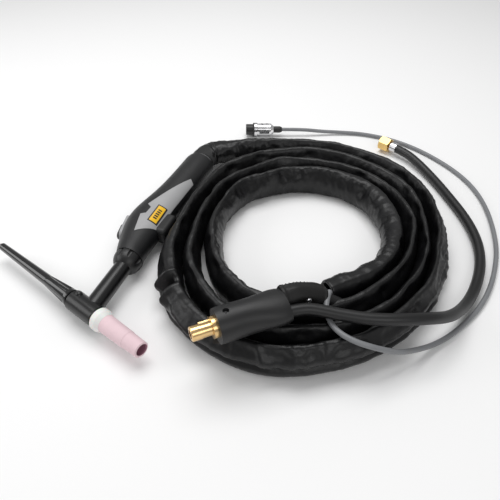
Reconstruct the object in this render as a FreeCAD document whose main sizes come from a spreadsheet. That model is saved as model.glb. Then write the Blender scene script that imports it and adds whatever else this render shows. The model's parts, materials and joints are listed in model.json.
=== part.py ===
import FreeCAD
import Part
import Sketcher
import math
import os

# A gas-cooled TIG torch with its covered cable coiled beside it. The grip's axis runs along +X,
# the torch lies on its side, +Z is up and Z = 0 is the bench. Sizes are in millimetres.
#
# Three local frames are used, each placed once:
#   torch frame   origin on the grip's axis at the front rim of the grip, X to the rear,
#                 Y to the back-cap side
#   head frame    Z along the electrode, towards the back cap, origin where the neck meets it
#   plug frames   X along a plug's axis, from its front towards its cable

os.makedirs("parts", exist_ok=True)
doc = FreeCAD.newDocument("tig_torch")
sheet = doc.addObject("Spreadsheet::Sheet", "Sheet")
sizes = {}
finished = []


def cells(group, values):
    """Write one group of driving dimensions to the sheet, one alias per row."""
    row = len(sizes) + 1
    for alias, value in values.items():
        sheet.set("A%d" % row, group)
        sheet.set("B%d" % row, str(value))
        sheet.setAlias("B%d" % row, alias)
        sizes[alias] = float(value)
        row += 1


cells("torch placement", {
    "torch_x": -41.35,
    "torch_y": -35.3,
    "axis_height": 17.4,
    "head_x": -76,
    "head_turn": -20,
})

cells("head", {
    "head_radius": 10.5,
    "head_low": -12,
    "head_high": 24.5,
    "core_radius": 7,
    "core_low": -10,
    "core_high": 24,
    "core_bore": 5,
    "collar_way": 5.6,
    "neck_radius": 9,
    "neck_end": 9,
    "pipe_radius": 4,
    "pipe_bore": 2.8,
    "pipe_end": 34,
    "lug_radius": 4,
    "lug_height": 17,
    "lug_out": 8.2,
})

cells("back cap", {
    "cap_shank_radius": 4.93,
    "cap_shank_low": 12,
    "cap_base": 26.5,
    "cap_base_radius": 8.8,
    "cap_rim_top": 29,
    "cap_waist": 64,
    "cap_waist_radius": 5.7,
    "cap_tip_start": 144,
    "cap_tip_radius": 4.1,
    "cap_tip_face": 2.4,
    "cap_top": 147.5,
    "cap_bore": 2.2,
    "cap_bore_top": 140,
    "flute_count": 6,
    "flute_radius": 5,
    "flute_low": 30.5,
    "flute_offset": 11.6,
    "flute_lean": 1.5,
    "flute_length": 34,
    "seal_height": 25.5,
    "seal_ring_radius": 6.4,
    "seal_thickness": 0.95,
})

cells("front consumables", {
    "body_thread_radius": 4.95,
    "body_thread_top": 5,
    "body_collar_radius": 5.5,
    "body_collar_low": -34,
    "body_tube_radius": 4,
    "body_low": -52,
    "body_bore": 1.9,
    "body_mouth": 1.3,
    "collet_radius": 1.85,
    "collet_bore": 1.25,
    "collet_low": -49.5,
    "collet_neck": 5.4,
    "collet_head_radius": 3,
    "collet_top": 11,
    "slit_width": 0.4,
    "slit_length": 18,
    "rod_radius": 1.2,
    "rod_low": -60,
    "rod_point": -54,
    "rod_high": 90,
    "gasket_radius": 11.3,
    "gasket_bore": 5.6,
    "gasket_low": -23.4,
    "gasket_edge": 1.6,
    "cup_radius": 9.1,
    "cup_step": -52.7,
    "cup_step_radius": 8.5,
    "cup_front_radius": 8.15,
    "cup_tip_radius": 7.75,
    "cup_low": -70.6,
    "cup_thread_radius": 5.56,
    "cup_bore": 5.5,
    "cup_mouth": 5.9,
})

cells("neck collar", {
    "collar_radius": 14.8,
    "collar_centre": -3,
    "collar_front": -15.5,
    "collar_back": -0.3,
    "collar_spigot": 11.4,
    "collar_spigot_end": 3.5,
    "collar_flutes": 8,
    "collar_flute_radius": 2.6,
    "collar_flute_offset": 15.9,
})

# The grip is an oval tube. Each station is its place along the axis, how far its middle stands
# towards the trigger, and its half width and half thickness.
grip_stations = [
    (0, 0.0, 15.2, 15.0),
    (15, 3.8, 17.0, 16.0),
    (32, 6.5, 19.8, 16.6),
    (50, 8.5, 22.0, 17.0),
    (66, 8.5, 22.8, 17.0),
    (90, 6.0, 21.4, 17.0),
    (115, 3.5, 19.8, 16.8),
    (145, 2.0, 19.0, 16.5),
    (175, 1.0, 19.0, 16.2),
    (188, 0.8, 17.8, 15.6),
]
for i, (along, across, half_width, half_thick) in enumerate(grip_stations):
    cells("grip station", {
        "grip_along_%d" % i: along,
        "grip_across_%d" % i: across,
        "grip_width_%d" % i: half_width,
        "grip_thick_%d" % i: half_thick,
    })

cells("grip details", {
    "wall": 2.6,
    "panel_depth": 1.2,
    "panel_proud": 0.4,
    "label_proud": 0.7,
    "label_x": 60,
    "label_y": -4.2,
    "label_length": 28,
    "label_width": 10.5,
    "boss_radius": 3.4,
    "screw_radius": 1.25,
    "screw_head_radius": 2.7,
    "screw_head_low": -11.3,
    "screw_head_high": -9.3,
    "screw_top": 7,
    "screw_clearance": 0.05,
    "rest_start": 40,
    "rest_end": 73,
    "rest_out": -21.5,
    "rest_in": -4,
    "rest_half": 9.5,
    "rest_edge": 5,
    "ring_start": 188,
    "ring_end": 190,
    "ring_half_width": 16.4,
    "ring_half_thick": 14.2,
    "cuff_start": 176,
    "cuff_end": 194,
    "cuff_half_width": 14.4,
    "cuff_half_thick": 12.4,
    "cuff_wall": 1.8,
})

cells("trigger", {
    "trigger_x": 43,
    "trigger_y": 27.8,
    "trigger_lean": 11.5,
    "bezel_half_length": 18,
    "bezel_half_width": 7,
    "bezel_low": -2.5,
    "bezel_high": 1.9,
    "button_x": -7,
    "button_half_length": 10.5,
    "button_half_width": 4.8,
    "button_low": -2.7,
    "button_high": 5,
    "button_gap": 0.15,
    "button_edge": 2.2,
    "flange_low": -4,
    "flange_more": 1.3,
    "switch_start": -17,
    "switch_length": 20,
    "switch_low": -15.5,
    "switch_high": -6,
    "switch_half_width": 3.2,
    "lever_low": -5.7,
    "lever_high": -5.3,
    "lever_width": 4,
    "plunger_radius": 1.2,
})

cells("power line inside the grip", {
    "fitting_start": 24,
    "fitting_radius": 5.6,
    "fitting_waist": 38,
    "fitting_barb_radius": 4.2,
    "fitting_end": 58,
    "fitting_bore": 2.4,
    "power_radius": 6.5,
    "power_start": 39,
    "lead_radius": 2,
})

cells("dinse plug", {
    "dinse_x": -123.5,
    "dinse_y": -165.5,
    "dinse_z": 53.8,
    "dinse_turn": -48.5,
    "pin_front": -22,
    "pin_radius": 6.5,
    "pin_chamfer": 0.8,
    "pin_land_end": -13.2,
    "pin_back_radius": 6.15,
    "pin_flange_start": -4,
    "pin_flange_radius": 9.6,
    "pin_shank_end": 25,
    "pin_shank_radius": 7,
    "pin_hollow": 4,
    "key_half_width": 1.6,
    "key_start": -13,
    "key_out": 8.3,
    "screw_hole_x": 9,
    "screw_hole_radius": 2.8,
    "set_screw_radius": 2.5,
    "set_screw_low": 7,
    "set_screw_high": 12,
    "gas_side": -8.6,
    "power_side": 7.2,
    "gas_tail_radius": 3,
    "gas_tail_bore": 1.8,
    "wire_radius": 4,
    "socket_radius": 1.3,
    "socket_depth": 2,
})

cells("gas fitting", {
    "gas_x": 287,
    "gas_y": -244,
    "gas_z": 10.8,
    "gas_turn": -114.8,
    "nut_flats": 17,
    "nut_chamfer": 1.2,
    "nut_face_radius": 8.1,
    "nut_corner_radius": 9.8,
    "nut_length": 15,
    "nut_bore": 5.5,
    "nut_floor": 10,
    "nut_relief": 6.2,
    "nut_relief_start": 6.5,
    "nut_way": 4.56,
    "tail_head_radius": 6,
    "tail_head_start": 6.6,
    "tail_head_end": 9.9,
    "tail_radius": 4.5,
    "tail_end": 18,
    "tail_way": 2.2,
    "ferrule_radius": 6.3,
    "ferrule_start": 16.5,
    "ferrule_end": 25,
    "hose_radius": 5.5,
})

cells("control plug", {
    "control_x": 261.2,
    "control_y": -56.4,
    "control_z": 9.7,
    "control_turn": -71,
    "insert_radius": 7.5,
    "insert_end": 17,
    "insert_land_end": 9.8,
    "insert_back_radius": 7.15,
    "contact_radius": 1,
    "contact_circle": 4.4,
    "contact_depth": 9,
    "seal_start": 10,
    "seal_end": 12,
    "seal_radius": 9.3,
    "coupling_start": 12.1,
    "coupling_end": 15.9,
    "coupling_radius": 9.5,
    "coupling_bore": 7.25,
    "shell_start": 16,
    "shell_neck": 35,
    "shell_end": 39,
    "shell_radius": 8.4,
    "shell_bore": 6.6,
    "shell_end_radius": 5.2,
    "shell_way": 4.6,
    "window_start": 19,
    "window_end": 33,
    "window_half": 2.2,
    "clamp_screw_one": 22.5,
    "clamp_screw_two": 29.5,
    "clamp_screw_radius": 1.7,
    "clamp_screw_low": 5,
    "clamp_screw_high": 8.8,
    "relief_start": 33,
    "relief_end": 51,
    "relief_radius": 4.5,
    "cable_radius": 2.5,
})

cells("covered cable", {
    "coil_height": 38,
    "coil_edge": 6,
    "cover_radius": 14,
    "leather_radius": 9.5,
    "snap_radius": 3.4,
})
doc.recompute()


def amount(term):
    """The number that a term such as 'cap_base - 2' stands for."""
    total = 0.0
    sign = 1
    for word in term.split():
        if word in "+-":
            sign = 1 if word == "+" else -1
        elif word in sizes:
            total += sign * sizes[word]
        else:
            total += sign * float(word)
    return total


def formula(term):
    """The same term as an expression on the sheet."""
    return " ".join("Sheet." + w if w in sizes else w for w in term.split())


def bind(thing, **terms):
    """Bind properties of an object to terms on the sheet."""
    for key, term in terms.items():
        setattr(thing, key, amount(term))
        thing.setExpression(key, formula(term))
    return thing


def put(thing, x="0", y="0", z="0", turn=None):
    """Place an object, its base bound to the sheet."""
    base = FreeCAD.Vector(amount(x), amount(y), amount(z))
    thing.Placement = FreeCAD.Placement(base, turn or FreeCAD.Rotation())
    for key, term in (("x", x), ("y", y), ("z", z)):
        thing.setExpression("Placement.Base." + key, formula(term))
    return thing


ALONG_X = FreeCAD.Rotation(FreeCAD.Vector(0, 1, 0), 90)
ACROSS = FreeCAD.Rotation(FreeCAD.Vector(1, 1, 1), 120)
TO_HEAD = FreeCAD.Rotation(sizes["head_turn"], 0, -90)
LEAN = FreeCAD.Rotation(FreeCAD.Vector(0, 0, 1), sizes["trigger_lean"])
DINSE = FreeCAD.Rotation(FreeCAD.Vector(0, 0, 1), sizes["dinse_turn"])
GAS = FreeCAD.Rotation(FreeCAD.Vector(0, 0, 1), sizes["gas_turn"])
CONTROL = FreeCAD.Rotation(FreeCAD.Vector(0, 0, 1), sizes["control_turn"])
ALONG_DINSE = DINSE.multiply(ALONG_X)


def finish(thing, label, where, turn=None):
    """Name a finished sub-part and place it in the part's own frame."""
    thing.Label = label
    put(thing, *where, turn=turn)
    finished.append(thing)
    return thing


IN_TORCH = ("torch_x", "torch_y", "axis_height")
IN_HEAD = ("torch_x + head_x", "torch_y", "axis_height")
IN_DINSE = ("dinse_x", "dinse_y", "dinse_z")
IN_GAS = ("gas_x", "gas_y", "gas_z")
IN_CONTROL = ("control_x", "control_y", "control_z")


def block(name, x0, x1, y0, y1, z0, z1):
    """A box between two corners given as terms."""
    box = doc.addObject("Part::Box", name)
    size = {}
    for key, low, high in (("Length", x0, x1), ("Width", y0, y1), ("Height", z0, z1)):
        size[key] = amount(high) - amount(low)
        setattr(box, key, size[key])
        box.setExpression(key, "(%s) - (%s)" % (formula(high), formula(low)))
    return put(box, x0, y0, z0)


def rod(name, radius, length, x="0", y="0", z="0", turn=None):
    """A cylinder from a point, along local Z unless it is turned."""
    piece = doc.addObject("Part::Cylinder", name)
    bind(piece, Radius=radius)
    piece.Height = amount(length)
    piece.setExpression("Height", formula(length))
    return put(piece, x, y, z, turn)


def cut(name, base, tool):
    piece = doc.addObject("Part::Cut", name)
    piece.Base = base
    piece.Tool = tool
    return piece


def common(name, base, tool):
    piece = doc.addObject("Part::Common", name)
    piece.Base = base
    piece.Tool = tool
    return piece


def fuse(name, pieces):
    piece = doc.addObject("Part::MultiFuse", name)
    piece.Shapes = pieces
    piece.Refine = True
    return piece


def outline(body, name, plane_role, corners):
    """A closed sketch whose corners are terms (across, up), on one of the body's own planes."""
    sketch = body.newObject("Sketcher::SketchObject", name)
    planes = [f for f in body.Origin.OriginFeatures if f.Role == plane_role]
    sketch.AttachmentSupport = [(planes[0], "")]
    sketch.MapMode = "FlatFace"
    points = [FreeCAD.Vector(amount(a), amount(b), 0) for a, b in corners]
    count = len(points)
    for i in range(count):
        sketch.addGeometry(Part.LineSegment(points[i], points[(i + 1) % count]))
    for i in range(count):
        sketch.addConstraint(Sketcher.Constraint("Coincident", i, 2, (i + 1) % count, 1))
    for i, (across, up) in enumerate(corners):
        for kind, term in (("DistanceX", across), ("DistanceY", up)):
            at = sketch.addConstraint(Sketcher.Constraint(kind, i, 1, amount(term)))
            sketch.setExpression("Constraints[%d]" % at, formula(term))
    return sketch


def turned(name, corners):
    """A piece turned about local Z from a half outline of (radius, height) terms."""
    body = doc.addObject("PartDesign::Body", name)
    sketch = outline(body, name + "_outline", "XZ_Plane", corners)
    spun = body.newObject("PartDesign::Revolution", name + "_turned")
    spun.Profile = sketch
    spun.ReferenceAxis = (sketch, ["V_Axis"])
    spun.Angle = 360
    sketch.Visibility = False
    return body


def padded(name, plane_role, corners, length):
    """A flat outline padded both ways by half of length."""
    body = doc.addObject("PartDesign::Body", name)
    sketch = outline(body, name + "_outline", plane_role, corners)
    pad = body.newObject("PartDesign::Pad", name + "_pad")
    pad.Profile = sketch
    pad.Length = amount(length)
    pad.setExpression("Length", formula(length))
    pad.Midplane = True
    return body


def oval(name, x, y, half_width, half_thick):
    """An oval section across local X, wide along Y."""
    section = doc.addObject("Part::Ellipse", name)
    bind(section, MajorRadius=half_width, MinorRadius=half_thick)
    return put(section, x, y, "0", ACROSS)


def loft(name, sections):
    piece = doc.addObject("Part::Loft", name)
    piece.Sections = sections
    piece.Solid = True
    return piece


def grip_loft(name, growth):
    """The grip's oval body, grown or shrunk all round by a term such as '- wall'."""
    sections = []
    for i in range(len(grip_stations)):
        sections.append(oval(
            "%s_%d" % (name, i),
            "grip_along_%d" % i,
            "grip_across_%d" % i,
            "grip_width_%d %s" % (i, growth),
            "grip_thick_%d %s" % (i, growth),
        ))
    return loft(name, sections)


def slot_block(name, middle, half_length, half_width, low, high):
    """An upright bar with round ends, long in X, its flat faces at two heights in Y."""
    straight = "%s - %s" % (half_length, half_width)
    box = doc.addObject("Part::Box", name + "_bar")
    for key, low_term, high_term in (
        ("Length", "0", straight),
        ("Width", low, high),
        ("Height", "0", half_width),
    ):
        double = 1 if key == "Width" else 2
        setattr(box, key, double * (amount(high_term) - amount(low_term)))
        text = "%d * ((%s) - (%s))" % (double, formula(high_term), formula(low_term))
        box.setExpression(key, text)
    start = amount(middle) - amount(straight)
    box.Placement.Base = FreeCAD.Vector(start, amount(low), -amount(half_width))
    box.setExpression("Placement.Base.x", "%s - (%s)" % (formula(middle), formula(straight)))
    box.setExpression("Placement.Base.y", formula(low))
    box.setExpression("Placement.Base.z", "-(%s)" % formula(half_width))
    ends = []
    for tag, sign in (("front", "-"), ("back", "+")):
        end = doc.addObject("Part::Cylinder", "%s_%s" % (name, tag))
        bind(end, Radius=half_width)
        end.Height = amount(high) - amount(low)
        end.setExpression("Height", "(%s) - (%s)" % (formula(high), formula(low)))
        shift = amount(straight) if sign == "+" else -amount(straight)
        upright = FreeCAD.Rotation(FreeCAD.Vector(1, 0, 0), -90)
        place = FreeCAD.Vector(amount(middle) + shift, amount(low), 0)
        end.Placement = FreeCAD.Placement(place, upright)
        text = "%s %s (%s)" % (formula(middle), sign, formula(straight))
        end.setExpression("Placement.Base.x", text)
        end.setExpression("Placement.Base.y", formula(low))
        ends.append(end)
    return fuse(name, [box] + ends)


def cord_path(points):
    """Straight runs joined by tangent arcs, each arc as large as its two runs allow."""
    spots = [FreeCAD.Vector(*p) for p in points]
    edges = []
    radii = []
    start = spots[0]
    for before, corner, after in zip(spots, spots[1:], spots[2:]):
        way_in = (corner - before).normalize()
        way_out = (after - corner).normalize()
        turn = way_in.getAngle(way_out)
        shorter = min((corner - before).Length, (after - corner).Length)
        reach = 0.45 * shorter
        radius = reach / math.tan(turn / 2)
        radii.append(radius)
        arc_start = corner - way_in * reach
        arc_end = corner + way_out * reach
        inward = (way_out - way_in).normalize()
        middle = corner + inward * (radius / math.cos(turn / 2) - radius)
        edges.append(Part.LineSegment(start, arc_start).toShape())
        edges.append(Part.Arc(arc_start, middle, arc_end).toShape())
        start = arc_end
    edges.append(Part.LineSegment(start, spots[-1]).toShape())
    return Part.Wire(edges), min(radii)


def cord(name, points, radius_cell, where=("0", "0", "0")):
    """A round tube along a route, with its length, volume and tightest arc printed."""
    radius = sizes[radius_cell]
    path, tightest = cord_path(points)
    first = FreeCAD.Vector(*points[0])
    circle = Part.makeCircle(radius, first, FreeCAD.Vector(*points[1]) - first)
    solid = path.makePipeShell([Part.Wire([circle])], True, False)
    share = solid.Volume / (math.pi * radius ** 2 * path.Length)
    print("%s length %.0f mm, tightest arc %.0f mm, volume share %.4f, lowest %.2f" % (
        name, path.Length, tightest, share, solid.BoundBox.ZMin))
    piece = doc.addObject("Part::Feature", name)
    piece.Shape = solid
    return finish(piece, name, where)


# Head: a brass core with the gas and power pipe coming in from the grip, moulded over in rubber.
core_blank = turned("core_blank", [
    ("core_bore", "core_low"),
    ("core_radius", "core_low"),
    ("core_radius", "core_high"),
    ("core_bore", "core_high"),
])
put(core_blank, *("head_x", "0", "0"), turn=TO_HEAD)
gas_port = rod("gas_port", "pipe_bore", "0 - head_x", x="head_x", turn=ALONG_X)
finish(cut("head_core", core_blank, gas_port), "head_core", IN_TORCH)

pipe_blank = rod("pipe_blank", "pipe_radius", "pipe_end - head_x", x="head_x", turn=ALONG_X)
core_solid = rod(
    "core_solid", "core_radius", "core_high - core_low", x="head_x", turn=TO_HEAD)
shift = TO_HEAD.multVec(FreeCAD.Vector(0, 0, 1))
for axis, part_of in (("x", shift.x), ("y", shift.y)):
    start = "Sheet.head_x + " if axis == "x" else ""
    core_solid.setExpression("Placement.Base." + axis, "%s%.9f * Sheet.core_low" % (start, part_of))
pipe_way = rod("pipe_way", "pipe_bore", "pipe_end - head_x", x="head_x", turn=ALONG_X)
pipe_tools = fuse("pipe_tools", [core_solid, pipe_way])
finish(cut("neck_pipe", pipe_blank, pipe_tools), "neck_pipe", IN_TORCH)

cover_barrel = turned("cover_barrel", [
    ("0", "head_low"),
    ("head_radius - 1", "head_low"),
    ("head_radius", "head_low + 1"),
    ("head_radius", "head_high - 1.5"),
    ("head_radius - 1.5", "head_high"),
    ("0", "head_high"),
])
put(cover_barrel, "head_x", turn=TO_HEAD)
cover_neck = rod("cover_neck", "neck_radius", "neck_end - head_x", x="head_x", turn=ALONG_X)
lug = doc.addObject("Part::Sphere", "lug")
bind(lug, Radius="lug_radius")
lug_place = TO_HEAD.multVec(FreeCAD.Vector(3, -sizes["lug_out"], sizes["lug_height"]))
lug.Placement.Base = lug_place + FreeCAD.Vector(sizes["head_x"], 0, 0)
cover_solid = fuse("cover_solid", [cover_barrel, cover_neck, lug])
cover_core = rod(
    "cover_core", "core_radius", "core_high - core_low", x="head_x", turn=TO_HEAD)
for axis, part_of in (("x", shift.x), ("y", shift.y)):
    start = "Sheet.head_x + " if axis == "x" else ""
    cover_core.setExpression("Placement.Base." + axis, "%s%.9f * Sheet.core_low" % (start, part_of))
cover_way = turned("cover_way", [
    ("0", "head_low - 1"),
    ("collar_way", "head_low - 1"),
    ("collar_way", "head_high + 1"),
    ("0", "head_high + 1"),
])
put(cover_way, "head_x", turn=TO_HEAD)
cover_pipe = rod("cover_pipe", "pipe_radius", "pipe_end - head_x", x="head_x", turn=ALONG_X)
cover_tools = fuse("cover_tools", [cover_core, cover_way, cover_pipe])
finish(cut("head_cover", cover_solid, cover_tools), "head_cover", IN_TORCH)

# Back cap: long, slender and flared towards its fluted base, with its sealing ring.
cap_blank = turned("cap_blank", [
    ("0", "cap_bore_top"),
    ("cap_bore", "cap_bore_top - 1"),
    ("cap_bore", "cap_shank_low"),
    ("cap_shank_radius", "cap_shank_low"),
    ("cap_shank_radius", "cap_base"),
    ("cap_base_radius - 0.6", "cap_base"),
    ("cap_base_radius", "cap_base + 0.8"),
    ("cap_base_radius", "cap_rim_top"),
    ("cap_waist_radius", "cap_waist"),
    ("cap_tip_radius", "cap_tip_start"),
    ("cap_tip_face", "cap_top"),
    ("0", "cap_top"),
])
flutes = []
for i in range(int(sizes["flute_count"])):
    angle = 360.0 * i / sizes["flute_count"]
    spin = FreeCAD.Rotation(FreeCAD.Vector(0, 0, 1), angle)
    lean = FreeCAD.Rotation(FreeCAD.Vector(0, 1, 0), -sizes["flute_lean"])
    flute = rod("flute_%d" % i, "flute_radius", "flute_length")
    base = spin.multVec(FreeCAD.Vector(sizes["flute_offset"], 0, sizes["flute_low"]))
    flute.Placement = FreeCAD.Placement(base, spin.multiply(lean))
    for axis, share in (("x", math.cos(math.radians(angle))), ("y", math.sin(math.radians(angle)))):
        flute.setExpression("Placement.Base." + axis, "%.9f * Sheet.flute_offset" % share)
    flute.setExpression("Placement.Base.z", "Sheet.flute_low")
    flutes.append(flute)
flute_set = fuse("flute_set", flutes)
finish(cut("back_cap", cap_blank, flute_set), "back_cap", IN_HEAD, TO_HEAD)

seal = doc.addObject("Part::Torus", "seal")
bind(seal, Radius1="seal_ring_radius", Radius2="seal_thickness")
put(seal, z="seal_height")
finish(common("cap_seal", seal, rod("seal_field", "head_radius", "cap_base + 5")),
       "cap_seal", IN_HEAD, TO_HEAD)

# Front consumables: collet body, collet, electrode, gasket and ceramic cup.
finish(turned("collet_body", [
    ("body_bore", "body_thread_top"),
    ("body_thread_radius", "body_thread_top"),
    ("body_thread_radius", "core_low"),
    ("body_collar_radius", "core_low"),
    ("body_collar_radius", "body_collar_low"),
    ("body_tube_radius", "body_collar_low"),
    ("body_tube_radius", "body_low + 1"),
    ("body_tube_radius - 1", "body_low"),
    ("body_mouth", "body_low"),
    ("body_mouth", "body_low + 1.2"),
    ("body_bore", "body_low + 2.4"),
]), "collet_body", IN_HEAD, TO_HEAD)

collet_blank = turned("collet_blank", [
    ("collet_bore", "collet_low"),
    ("collet_radius - 0.3", "collet_low"),
    ("collet_radius", "collet_low + 1"),
    ("collet_radius", "collet_neck"),
    ("collet_head_radius", "collet_neck + 1"),
    ("collet_head_radius", "collet_top"),
    ("collet_bore", "collet_top"),
])
slit = doc.addObject("Part::Box", "slit")
slit.Length = 2 * sizes["collet_head_radius"]
slit.setExpression("Length", "2 * Sheet.collet_head_radius")
bind(slit, Width="slit_width", Height="slit_length")
slit.setExpression("Placement.Base.x", "-Sheet.collet_head_radius")
slit.setExpression("Placement.Base.y", "-Sheet.slit_width / 2")
slit.setExpression("Placement.Base.z", "Sheet.collet_low - 1")
finish(cut("collet", collet_blank, slit), "collet", IN_HEAD, TO_HEAD)

finish(turned("electrode", [
    ("0", "rod_low"),
    ("rod_radius", "rod_point"),
    ("rod_radius", "rod_high"),
    ("0", "rod_high"),
]), "electrode", IN_HEAD, TO_HEAD)

finish(turned("cup_gasket", [
    ("gasket_bore", "head_low"),
    ("gasket_radius - gasket_edge", "head_low"),
    ("gasket_radius", "head_low - gasket_edge"),
    ("gasket_radius", "gasket_low + 4.5"),
    ("cup_radius + 0.2", "gasket_low"),
    ("gasket_bore", "gasket_low"),
]), "cup_gasket", IN_HEAD, TO_HEAD)

finish(turned("ceramic_cup", [
    ("cup_thread_radius", "gasket_low"),
    ("cup_radius", "gasket_low"),
    ("cup_step_radius", "cup_step"),
    ("cup_front_radius", "cup_step - 0.5"),
    ("cup_tip_radius", "cup_low + 0.5"),
    ("cup_tip_radius - 0.5", "cup_low"),
    ("cup_mouth", "cup_low"),
    ("cup_bore", "cup_low + 1"),
    ("cup_bore", "body_collar_low - 1"),
    ("cup_thread_radius", "body_collar_low - 0.9"),
]), "ceramic_cup", IN_HEAD, TO_HEAD)

# Neck collar: a lobed rubber knob between the neck and the grip, plugged into the grip.
ball = doc.addObject("Part::Sphere", "ball")
bind(ball, Radius="collar_radius")
put(ball, x="collar_centre")
ball_keep = block("ball_keep", "collar_front", "collar_back", "-20", "20", "-20", "20")
ball_cut = common("ball_cut", ball, ball_keep)
collar_flutes = []
for i in range(int(sizes["collar_flutes"])):
    angle = 2 * math.pi * (i + 0.5) / sizes["collar_flutes"]
    groove = rod("collar_flute_%d" % i, "collar_flute_radius", "20", x="collar_front - 2", turn=ALONG_X)
    for axis, share in (("y", math.cos(angle)), ("z", math.sin(angle))):
        text = "%.9f * Sheet.collar_flute_offset" % share
        groove.setExpression("Placement.Base." + axis, text)
    collar_flutes.append(groove)
lobed = cut("lobed", ball_cut, fuse("collar_flute_set", collar_flutes))
spigot = rod(
    "spigot", "collar_spigot", "collar_spigot_end - collar_back + 2", x="collar_back - 2", turn=ALONG_X)
neck_way = rod("neck_way", "neck_radius", "60", x="-40", turn=ALONG_X)
collar_solid = fuse("collar_solid", [lobed, spigot])
finish(cut("neck_collar", collar_solid, neck_way), "neck_collar", IN_TORCH)

# Grip: two half shells with screw bosses, a trigger opening and a recess for each side panel.
grip_outer = grip_loft("grip_outer", "+ 0")
grip_inner = grip_loft("grip_inner", "- wall")
grip_recess = grip_loft("grip_recess", "- panel_depth")
grip_panel = grip_loft("grip_panel", "+ panel_proud")
grip_label = grip_loft("grip_label", "+ label_proud")

upper_half = block("upper_half", "-20", "220", "-60", "60", "0", "40")
lower_half = block("lower_half", "-20", "220", "-60", "60", "-40", "0")

grip_tube = cut("grip_tube", grip_outer, grip_inner)
screw_spots = [("20", "14"), ("110", "17"), ("150", "-10.2")]
boss_rods = []
for i, (x, y) in enumerate(screw_spots):
    boss_rods.append(rod("boss_%d" % i, "boss_radius", "60", x=x, y=y, z="-30"))
bosses = common("bosses", grip_recess, fuse("boss_set", boss_rods))
grip_bossed = fuse("grip_bossed", [grip_tube, bosses])

screw_holes = []
for i, (x, y) in enumerate(screw_spots):
    hole = rod("screw_hole_%d" % i, "screw_radius + screw_clearance", "screw_top + 20", x, y, "-20")
    seat = rod("screw_seat_%d" % i, "screw_head_radius + screw_clearance", "20 + screw_head_high",
               x, y, "-20")
    screw_holes += [hole, seat]

# The trigger sits on a leaning frame, its Y pointing out of the grip.
bezel_blank = slot_block(
    "bezel_blank", "0", "bezel_half_length", "bezel_half_width", "bezel_low", "bezel_high")
button_way = slot_block(
    "button_way", "button_x", "button_half_length + button_gap",
    "button_half_width + button_gap", "bezel_low - 1", "bezel_high + 1")
bezel_pocket = slot_block(
    "bezel_pocket", "0", "bezel_half_length", "bezel_half_width", "bezel_low", "bezel_high + 6")
inner_pocket = slot_block(
    "inner_pocket", "button_x + 1", "button_half_length + 3", "button_half_width + 2",
    "lever_high - 2", "bezel_low + 0.1")
pocket_set = fuse("pocket_set", [bezel_pocket, inner_pocket])
TRIGGER = ("trigger_x", "trigger_y", "0")
put(pocket_set, *TRIGGER, turn=LEAN)

panel_corners = [
    ("25.5", "5.5"),
    ("42.5", "-11.5"),
    ("59", "-12.2"),
    ("83", "-12.8"),
    ("106", "-13.8"),
    ("132", "-14.6"),
    ("136", "-10.2"),
    ("71", "12.5"),
    ("66.5", "6.6"),
    ("55.5", "7.2"),
    ("52.5", "12.2"),
]
panel_prism = padded("panel_prism", "XY_Plane", panel_corners, "60")
recess_ring = cut("recess_ring", grip_outer, grip_recess)
recess = common("recess", recess_ring, panel_prism)
grip_drilled = cut("grip_drilled", grip_bossed, fuse("screw_ways", screw_holes))
grip_open = cut("grip_open", grip_drilled, pocket_set)
grip_whole = cut("grip_whole", grip_open, recess)
finish(common("grip_shell_upper", grip_whole, upper_half), "grip_shell_upper", IN_TORCH)
finish(common("grip_shell_lower", grip_whole, lower_half), "grip_shell_lower", IN_TORCH)

panel_ring = cut("panel_ring", grip_panel, grip_recess)
panels = common("panels", panel_ring, panel_prism)
screw_clear = fuse("screw_clear", [
    rod("panel_hole_%d" % i, "screw_head_radius + screw_clearance", "30", x, y, "-30")
    for i, (x, y) in enumerate(screw_spots)
])
panels_open = cut("panels_open", panels, screw_clear)
finish(common("side_panel_upper", panels_open, upper_half), "side_panel_upper", IN_TORCH)
finish(common("side_panel_lower", panels_open, lower_half), "side_panel_lower", IN_TORCH)

label_ring = cut("label_ring", grip_label, grip_panel)
label_block = doc.addObject("Part::Box", "label_block")
bind(label_block, Length="label_length", Width="label_width")
label_block.Height = 40
label_block.setExpression("Placement.Base.x", "Sheet.label_x - Sheet.label_length / 2")
label_block.setExpression("Placement.Base.y", "Sheet.label_y - Sheet.label_width / 2")
finish(common("rating_label", label_ring, label_block), "rating_label", IN_TORCH)

screws = []
for i, (x, y) in enumerate(screw_spots):
    shank = rod("screw_%d" % i, "screw_radius", "screw_top - screw_head_low", x, y, "screw_head_low")
    screw_head = rod("screw_head_%d" % i, "screw_head_radius", "screw_head_high - screw_head_low",
                     x, y, "screw_head_low")
    screws += [shank, screw_head]
finish(fuse("grip_screws", screws), "grip_screws", IN_TORCH)

rest_blank = block("rest_blank", "rest_start", "rest_end", "rest_out", "rest_in",
                   "0 - rest_half", "rest_half")
doc.recompute()
rest_round = doc.addObject("Part::Fillet", "rest_round")
rest_round.Base = rest_blank
outer_edges = []
for number, edge in enumerate(rest_blank.Shape.Edges, 1):
    middle = edge.CenterOfMass
    if middle.y < sizes["rest_in"] - 0.1:
        outer_edges.append((number, sizes["rest_edge"], sizes["rest_edge"]))
rest_round.Edges = outer_edges
finish(cut("finger_rest", rest_round, grip_panel), "finger_rest", IN_TORCH)

ring_blank = loft("ring_blank", [
    oval("ring_a", "ring_start", "grip_across_9", "ring_half_width", "ring_half_thick"),
    oval("ring_b", "ring_end", "grip_across_9", "ring_half_width", "ring_half_thick"),
])
ring_way = loft("ring_way", [
    oval("ring_c", "cuff_start - 5", "grip_across_9", "cuff_half_width", "cuff_half_thick"),
    oval("ring_d", "ring_end + 5", "grip_across_9", "cuff_half_width", "cuff_half_thick"),
])
finish(cut("rear_ring", ring_blank, ring_way), "rear_ring", IN_TORCH)

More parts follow.
